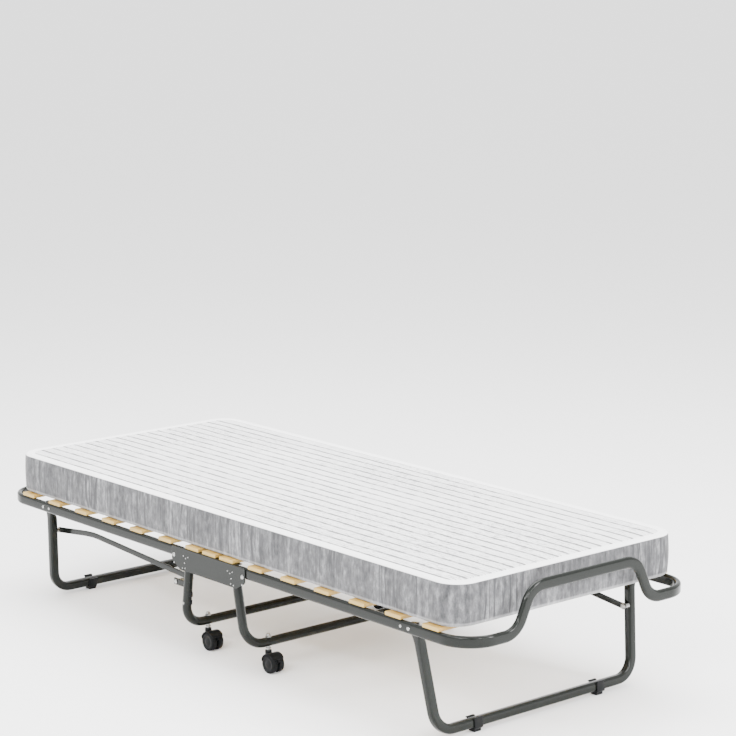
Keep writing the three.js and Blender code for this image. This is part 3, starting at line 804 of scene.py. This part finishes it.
def hinge_plate(side):
    """The hinge plate's web: an outline with cut lower corners, drawn in to its middle on both
    faces, and a flange turned in under the centre slats."""
    sy = SIDES[side]
    half, low, high = PLATE_HIGH[0], PLATE_LOW[2], PLATE_HIGH[2]
    cut_x, cut_z = 36 * MM, 21 * MM
    corners = [(0, high), (half, high), (half, low + cut_z), (half - cut_x, low), (0, low)]
    bends = [0, 2.5 * MM, 12 * MM, 16 * MM, 0]
    right, _ = route([(x, 0, z) for x, z in corners], bends, step=12, run=0.03)
    left = right[::-1] * (-1, 1, 1)
    ring = np.concatenate([right, left[1:]])
    outer, inner = PLATE_HIGH[1], PLATE_HIGH[1] - PLATE_THICK
    faces = []
    for y in (outer, inner):
        rim = ring + (0, sy * y, 0)
        faces.append(lid(rim, np.array((0, sy * y, (low + high) / 2)), 4))
    wall = np.stack([ring + (0, sy * outer, 0), ring + (0, sy * inner, 0)])
    web = piece(f"hinge_plate_{side}_web", faces + [wall], PAINT, "chassis", [f"hinge_plate_{side}"],
                crease=40)
    soft_edges(web, 0.9 * MM, 3)
    y0, y1 = sorted((sy * FLANGE_Y, sy * inner))
    under_slats = blocks((-FLANGE_HALF, y0, high - PLATE_THICK), (FLANGE_HALF, y1, high))
    flange = piece(f"hinge_plate_{side}_flange", under_slats, PAINT, "chassis")
    soft_edges(flange, 0.8 * MM, 2)
    y = sy * (outer - 0.2 * MM)
    small, large = dome(2.1 * MM, 1.6 * MM, 0.0, sy), dome(2.7 * MM, 1.8 * MM, 0.0, sy)
    sheets = [turned(head, (sx * x * MM, y, z * MM), sides=20)
              for head, spots in ((small, PLATE_RIVETS), (large, PLATE_STOPS))
              for x, z in spots for sx in (-1, 1)]
    piece(f"rivets_plate_{side}", sheets, STEEL, "chassis")


def stop_rivets(end):
    """A second bright rivet beside each leg pivot, on the outside of both rails."""
    sx = ENDS[end]
    x = sx * (LEG_PIVOT[0] - RAIL_RIVET_X)
    sheets = [turned(dome(4.2 * MM, 2.2 * MM, 0.0, sy), (x, sy * (HALF_WIDTH - 0.3 * MM), RAIL_Z), sides=24)
              for sy in (-1, 1)]
    piece(f"rail_rivets_{end}", sheets, STEEL, f"{end}_half")


# ---------------------------------------------------------------- slats


def slat(node, body):
    """A slat: a rounded section along Y, a little smaller at its very ends."""
    low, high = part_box(node)
    x, z = (low[0] + high[0]) / 2, (low[2] + high[2]) / 2
    tall, wide = high[2] - low[2], high[0] - low[0]
    y = np.array([-1, -0.9985, -0.996, -0.8, -0.5, -0.2, 0, 0.2, 0.5, 0.8, 0.996, 0.9985, 1]) * high[1]
    ease = np.array([1.4, 0.5, 0, 0, 0, 0, 0, 0, 0, 0, 0, 0.5, 1.4]) * MM
    section = rounded_section(tall - ease, wide - ease, 1.7 * MM - ease * 0.4, 4)
    points = np.stack([np.full_like(y, x), y, np.full_like(y, z)], axis=1)
    across = steady((1.0, 0.0, 0.0), len(y))
    along = steady((0.0, 0.0, 1.0), len(y))
    piece(f"{node}_board", sweep(points, across, along, section), WOOD, body, [node], crease=45)


# ---------------------------------------------------------------- casters


def arc_about(axle, radius, angles):
    """Points round an axle that lies along Y, each angle measured up from X."""
    return axle + radius * np.stack([np.cos(angles), 0 * angles, np.sin(angles)], axis=1)


def caster(end, side):
    """A swivel twin-wheel caster: nut and stem, fork with its hood, and two dished wheels."""
    sx, sy = ENDS[end], SIDES[side]
    spot = f"{end}_{side}"
    x, y = sx * STEM[0], sy * STEM[1]
    top = CENTRE_BAR + CENTRE_RADIUS
    nut = [(0, 0), (8.6, 0), (8.8, 0.5), (8.6, 1.3), (6.4, 1.5), (6.4, 5.6), (6.0, 6.2), (5.8, 6.3),
           (5.4, 8.0), (4.2, 9.5), (2.4, 10.3), (0, 10.5)]
    hexed = [0, 0, 0, 0, 1, 1, 1, 0, 0, 0, 0, 0]
    sheet = turned(np.array(nut) * MM, (x, y, top), "z", 48, hexed)
    piece(f"caster_nut_{spot}_dome", [sheet], STEEL, "chassis", [f"caster_nut_{spot}"], crease=28)
    low = CENTRE_BAR - CENTRE_RADIUS
    stem = [(0, 55.5 * MM), (5 * MM, 55.5 * MM), (5 * MM, 62 * MM), (7.4 * MM, 62.4 * MM),
            (7.6 * MM, 63.4 * MM), (7.4 * MM, 64.4 * MM), (5 * MM, 64.8 * MM), (5 * MM, low + 1.0 * MM),
            (0, low + 1.0 * MM)]
    piece(f"caster_stem_{spot}", [turned(stem, (x, y, 0), "z", 28)], STEEL, "chassis")
    body = f"caster_{spot}"
    axle = np.array((x + TRAIL, y, WHEEL))
    # hood: a strip over both wheels, on an arc about the axle
    a = np.radians(np.linspace(34, 172, 40))
    ring = arc_about(axle, HOOD_RADIUS, a)
    across = steady((0.0, 1.0, 0.0), len(a))
    outwards = arc_about(0, 1, a)
    taper = np.clip(np.minimum(np.arange(40), 39 - np.arange(40)) / 4, 0.35, 1) ** 0.5
    section = rounded_section(2.3 * MM * taper, 38.6 * MM * (0.8 + 0.2 * taper), 1.0 * MM * taper, 4)
    hood = sweep(ring, across, outwards, section)
    # web between the wheels, socket above it
    b = np.radians(np.linspace(20, 188, 40))
    rim = arc_about(axle, WEB_RADIUS, b)
    foot = arc_about(axle, 9.0 * MM, np.radians([215, 250, 290, 325]))
    outline = np.concatenate([rim, foot, rim[:1]])
    faces = [lid(outline + (0, s * WEB_HALF, 0), axle + (0, s * WEB_HALF, 0), 3) for s in (-1, 1)]
    web = faces + [np.stack([outline + (0, s * WEB_HALF, 0) for s in (-1, 1)])]
    cup = [(0, 46 * MM), (8.4 * MM, 46 * MM), (9 * MM, 47 * MM), (9 * MM, 56.5 * MM), (8.2 * MM, 57.8 * MM),
           (6.4 * MM, 58 * MM), (0, 58 * MM)]
    socket = turned(cup, (x, y, 0), "z", 32)
    hub = turned([(0, -18.6 * MM), (3 * MM, -18.6 * MM), (3 * MM, 18.6 * MM), (0, 18.6 * MM)], axle, "y", 16)
    piece(f"caster_{spot}_hood", hood, PLASTIC, body, [f"caster_{spot}"], crease=45)
    piece(f"caster_{spot}_web", web, PLASTIC, body, crease=35)
    piece(f"caster_{spot}_socket", [socket], PLASTIC, body)
    piece(f"caster_{spot}_axle", [hub], STEEL, body)
    # wheels: a soft tread band, a step, and a dished face with a raised boss
    for letter, s in (("a", -1), ("b", 1)):
        tread = [(21.5, 4.2), (24.0, 4.3), (24.7, 5.0), (25.0, 6.4), (25.0, 16.0), (24.6, 17.6),
                 (23.4, 18.7), (21.9, 19.0), (21.4, 18.2), (21.4, 4.6), (21.5, 4.2)]
        disc = [(3.3, 4.0), (21.2, 4.6), (21.2, 17.6), (19.5, 18.6), (17.0, 18.9), (15.8, 18.2),
                (14.8, 17.9), (10.0, 18.3), (8.6, 18.8), (7.2, 19.3), (3.0, 19.45), (0.0, 19.5)]
        tread = [(r * MM, s * h * MM) for r, h in tread]
        disc = [(0.0, s * 3.9 * MM)] + [(r * MM, s * h * MM) for r, h in disc]
        piece(f"wheel_{spot}_{letter}_tread", [turned(tread, axle, "y", 56)], TREAD, f"wheels_{spot}",
              [f"wheel_{spot}_{letter}"], crease=40)
        piece(f"wheel_{spot}_{letter}_disc", [turned(disc, axle, "y", 48)], PLASTIC, f"wheels_{spot}",
              crease=40)


# ---------------------------------------------------------------- mattress


PAD_HALF_WIDTH = PAD_HIGH[1]
PAD_CORNER = 65 * MM
PAD_CUT = 110 * MM
EDGE = 7 * MM


def pad_profile():
    """Pairs (inset, height, side) from the middle of the underside, out round the lower edge, up the
    side, round the upper edge and in to the middle of the top. side runs 0 to 1 up the side."""
    low, high = PAD_LOW[2], PAD_HIGH[2] + 1.5 * MM
    shoulder = BORDER + 6 * MM
    top = np.concatenate([
        np.linspace(EDGE, shoulder, 10)[1:], np.linspace(shoulder, PAD_HALF_WIDTH, 104)[1:],
    ])
    under = top[::-1]
    a = np.linspace(0, math.pi / 2, 6)
    side = np.linspace(low + EDGE, high - EDGE, 18)[1:-1]
    inset = np.concatenate([under, EDGE * (1 - np.sin(a)), side * 0, EDGE * (1 - np.cos(a)), top])
    height = np.concatenate([
        under * 0 + low, low + EDGE * (1 - np.cos(a)), side, high - EDGE * (1 - np.sin(a)), top * 0 + high,
    ])
    return inset, height, np.clip((height - low) / (high - low), 0, 1)


def pad_cut(near, far):
    """A flat end from the near and far profiles: each point is carried straight to mid height, where
    the points of the underside and of the top share their places."""
    middle = (PAD_LOW[2] + PAD_HIGH[2]) / 2
    sheets = []
    for profile in (near, far):
        centre_line = profile.copy()
        centre_line[:, 2] = middle
        reach = np.sign(profile[0, 1] + profile[len(profile) // 2, 1]) * (PAD_HALF_WIDTH - EDGE)
        centre_line[:, 1] = np.where(np.abs(profile[:, 1]) > abs(reach), reach, profile[:, 1])
        sheets.append(np.stack([profile, centre_line]))
    return sheets


def pad_surface(x, y, z, inset, rise, outward):
    """Adds the cover's relief: rows of quilting on top, a seam at the border, channels beneath, and a
    soft swell with upright gathers on the side. Every term depends on place alone, so that
    neighbouring pieces meet."""
    on_top = (rise > 0.999) * np.clip((inset - BORDER) / (4 * MM), 0, 1)
    row = np.abs((y / QUILT_PITCH) % 1.0 - 0.5) * 2
    quilt = 1.9 * MM * np.exp(-(row / 0.16) ** 2)
    wave = 0.35 * MM * np.sin(x * 41 + 3 * np.sin(y * 13)) * np.sin(y * 29 + 1.7)
    seam = 1.5 * MM * np.exp(-((inset - BORDER) / (2.2 * MM)) ** 2) * (rise > 0.999)
    crown = 1.5 * MM * np.clip(inset / 0.1, 0, 1)
    z = z - on_top * (quilt + wave) - seam + crown * (rise > 0.999)
    beneath = (rise < 0.001) * np.clip((inset - 20 * MM) / (10 * MM), 0, 1)
    z = z + beneath * 1.6 * MM * np.exp(-((np.abs((y / (43 * MM)) % 1.0 - 0.5) * 2) / 0.14) ** 2)
    s = x * 1.0 + y * 1.37
    gather = np.sin(s * 95 + 2.2 * np.sin(s * 17)) * 0.55 + np.sin(s * 211 + 1.3 * np.sin(s * 31)) * 0.45
    swell = np.sin(math.pi * np.clip(rise, 0, 1))
    push = swell * (2.4 * MM + 0.8 * MM * gather) * (inset < 0.1 * MM)
    return x + push * outward[0], y + push * outward[1], z


def pad_end(end):
    """The mattress from the fold to one end. Its rings are the plan outline set in by a distance d:
    straights at half width - d, corners of radius r - d about fixed centres until d passes r."""
    sx = ENDS[end]
    inset, height, rise = pad_profile()
    w, length = PAD_HALF_WIDTH, PAD_HIGH[0]
    back = np.maximum(inset, PAD_CORNER)[:, None]
    radius = np.maximum(PAD_CORNER - inset, 0)[:, None]
    cx, cy = length - back, w - back
    d = inset[:, None]
    n_side, n_arc, n_end = 64, 12, 150
    t = np.linspace(0, 1, n_side)[None]
    a = np.linspace(0, math.pi / 2, n_arc)[None, 1:-1]
    e = np.linspace(-1, 1, n_end)[None]
    ones = np.ones_like(d)
    xs = [PAD_CUT + (cx - PAD_CUT) * t, cx + radius * np.sin(a), (length - d) * np.ones_like(e)]
    ys = [-(w - d) * np.ones_like(t), -cy - radius * np.cos(a), cy * e]
    out_x = [0 * t * ones, np.sin(a) * ones, 1 + 0 * e * ones]
    out_y = [-1 + 0 * t * ones, -np.cos(a) * ones, 0 * e * ones]
    x = np.concatenate([*xs, xs[1][:, ::-1], xs[0][:, ::-1]], axis=1)
    y = np.concatenate([*ys, -ys[1][:, ::-1], -ys[0][:, ::-1]], axis=1)
    nx = np.concatenate([*out_x, out_x[1][:, ::-1], out_x[0][:, ::-1]], axis=1)
    ny = np.concatenate([*out_y, -out_y[1][:, ::-1], -out_y[0][:, ::-1]], axis=1)
    z = height[:, None] * np.ones_like(x)
    x, y, z = pad_surface(sx * x, y, z, d, rise[:, None], (sx * nx, ny))
    shell = np.stack([x, y, z], axis=2)
    cut = pad_cut(shell[:, 0], shell[:, -1])
    insets = [np.broadcast_to(d, x.shape)] + [np.stack([inset, inset])] * 2
    made = piece(f"mattress_{end}_pad", [shell] + cut, TICKING, None, (), crease=60,
                 attributes={"inset": np.concatenate([v.ravel() for v in insets])})
    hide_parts(f"mattress_{end}")
    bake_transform(made)


def pad_centre(end):
    """The strip of mattress over the hinge plates, which the fold presses flat."""
    sx = ENDS[end]
    inset, height, rise = pad_profile()
    d = inset[:, None]
    along = np.linspace(0, PAD_CUT, 20)[None]
    sheets, insets = [], []
    for sy in (-1, 1):
        x = sx * along * np.ones_like(d)
        y = sy * (PAD_HALF_WIDTH - d) * np.ones_like(x)
        z = height[:, None] * np.ones_like(x)
        x, y, z = pad_surface(x, y, z, d, rise[:, None], (0 * x, sy + 0 * y))
        sheets.append(np.stack([x, y, z], axis=2))
        insets.append(np.broadcast_to(d, x.shape))
    for column in (0, -1):
        sheets += pad_cut(sheets[0][:, column], sheets[1][:, column])
        insets += [np.stack([inset, inset])] * 2
    made = piece(f"mattress_centre_{end}_pad", sheets, TICKING, "chassis", [f"mattress_centre_{end}"],
                 crease=60, attributes={"inset": np.concatenate([v.ravel() for v in insets])})
    PAD_LOW[2]
    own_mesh(made)


def closing_strap():
    """A woven strap hanging from the foot hoop's inner face: a thin flat section down a line that
    eases off the tube, with a rivet at the top and a snap near its lower end."""
    low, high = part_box("closing_strap")
    z = np.linspace(high[2], low[2], 24)
    ease = 0.6 * MM * np.sin((high[2] - z) * 55)
    x = np.full_like(z, (low[0] + high[0]) / 2) + np.maximum(ease, 0)
    points = np.stack([x, 0 * z, z], axis=1)
    across = steady((0.0, 1.0, 0.0), len(z))
    along = steady((1.0, 0.0, 0.0), len(z))
    section = rounded_section(1.3 * MM, 25 * MM, 0.6 * MM, 3)
    piece("closing_strap_web", sweep(points, across, along, section), WEBBING, "foot_half", ["closing_strap"],
          crease=60)
    studs = [turned(dome(r, 1.8 * MM, 0.0), (high[0] - 0.2 * MM, 0, z0), "x", 24)
             for r, z0 in ((4.5 * MM, HOOP_Z), (6.0 * MM, low[2] + 14 * MM))]
    piece("closing_strap_studs", studs, STEEL, "foot_half")


# ---------------------------------------------------------------- build

for end_name in ENDS:
    half_frame(end_name)
    centre_leg(end_name)
    end_leg(end_name)
    link_bar(end_name)
    stop_rivets(end_name)
    pad_end(end_name)
    pad_centre(end_name)
    for side_name in SIDES:
        spot_name = f"{end_name}_{side_name}"
        glide(end_name, side_name)
        caster(end_name, side_name)
        pivot_pin(end_name, side_name, FOLD, PLATE_HIGH[1] + PIN_PROUD, HALF_WIDTH - RAIL_THICK - PIN_PROUD,
                  6 * MM, f"fold_pin_{spot_name}", "chassis")
        pivot_pin(end_name, side_name, LEG_PIVOT, HALF_WIDTH + PIN_PROUD,
                  HALF_WIDTH - RAIL_THICK - LEG_PIN_REACH, 5 * MM, f"leg_pin_{spot_name}",
                  f"{end_name}_half")

for side_name in SIDES:
    hinge_plate(side_name)

for body_name, nodes in frame["record"]["behaviour"]["bodies"].items():
    for node_name in nodes:
        if node_name.startswith("slat_"):
            slat(node_name, body_name)

closing_strap()

# ---------------------------------------------------------------- floor, light and camera


def floor():
    half = 220.0
    mesh = bpy.data.meshes.new("floor")
    corners = [(-half, -half, 0), (half, -half, 0), (half, half, 0), (-half, half, 0)]
    mesh.from_pydata(corners, [], [(0, 1, 2, 3)])
    mesh.materials.append(FLOOR)
    made = bpy.data.objects.new("floor", mesh)
    bpy.context.scene.collection.objects.link(made)


def soft_light(name, place, aim, size, power):
    light = bpy.data.lights.new(name, "AREA")
    light.shape = "RECTANGLE"
    light.size, light.size_y = size
    light.energy = power
    made = bpy.data.objects.new(name, light)
    made.location = place
    made.rotation_euler = (Vector(aim) - Vector(place)).to_track_quat("-Z", "Y").to_euler()
    bpy.context.scene.collection.objects.link(made)


def camera():
    made = bpy.data.objects.new("camera", bpy.data.cameras.new("camera"))
    azimuth, tilt = math.radians(49.25), math.radians(10.67)
    made.location = (4.858, -4.029, 1.949)
    view = Vector((-math.sin(azimuth) * math.cos(tilt), math.cos(azimuth) * math.cos(tilt), -math.sin(tilt)))
    made.rotation_euler = view.to_track_quat("-Z", "Y").to_euler()
    made.data.lens = 115.6
    made.data.sensor_width = 36.0
    made.data.clip_end = 1000.0
    bpy.context.scene.collection.objects.link(made)
    bpy.context.scene.camera = made


floor()
world = bpy.data.worlds.new("studio")
world.use_nodes = True
world.node_tree.nodes["Background"].inputs["Color"].default_value = (1.0, 1.0, 1.0, 1.0)
world.node_tree.nodes["Background"].inputs["Strength"].default_value = 2.3
bpy.context.scene.world = world
soft_light("key", (2.6, -4.6, 4.6), (0, 0, 0.3), (3.0, 2.4), 300)
soft_light("rim", (4.8, 1.6, 2.2), (0.6, 0, 0.3), (1.0, 2.2), 260)
soft_light("top", (-0.5, 0.4, 4.2), (0, 0, 0.4), (4.5, 2.5), 430)
soft_light("front strip", (0.6, -3.4, 2.6), (0, 0, 0.3), (3.4, 0.10), 90)
soft_light("end strip", (4.6, -0.6, 2.0), (0.9, 0, 0.3), (2.4, 0.10), 130)
camera()
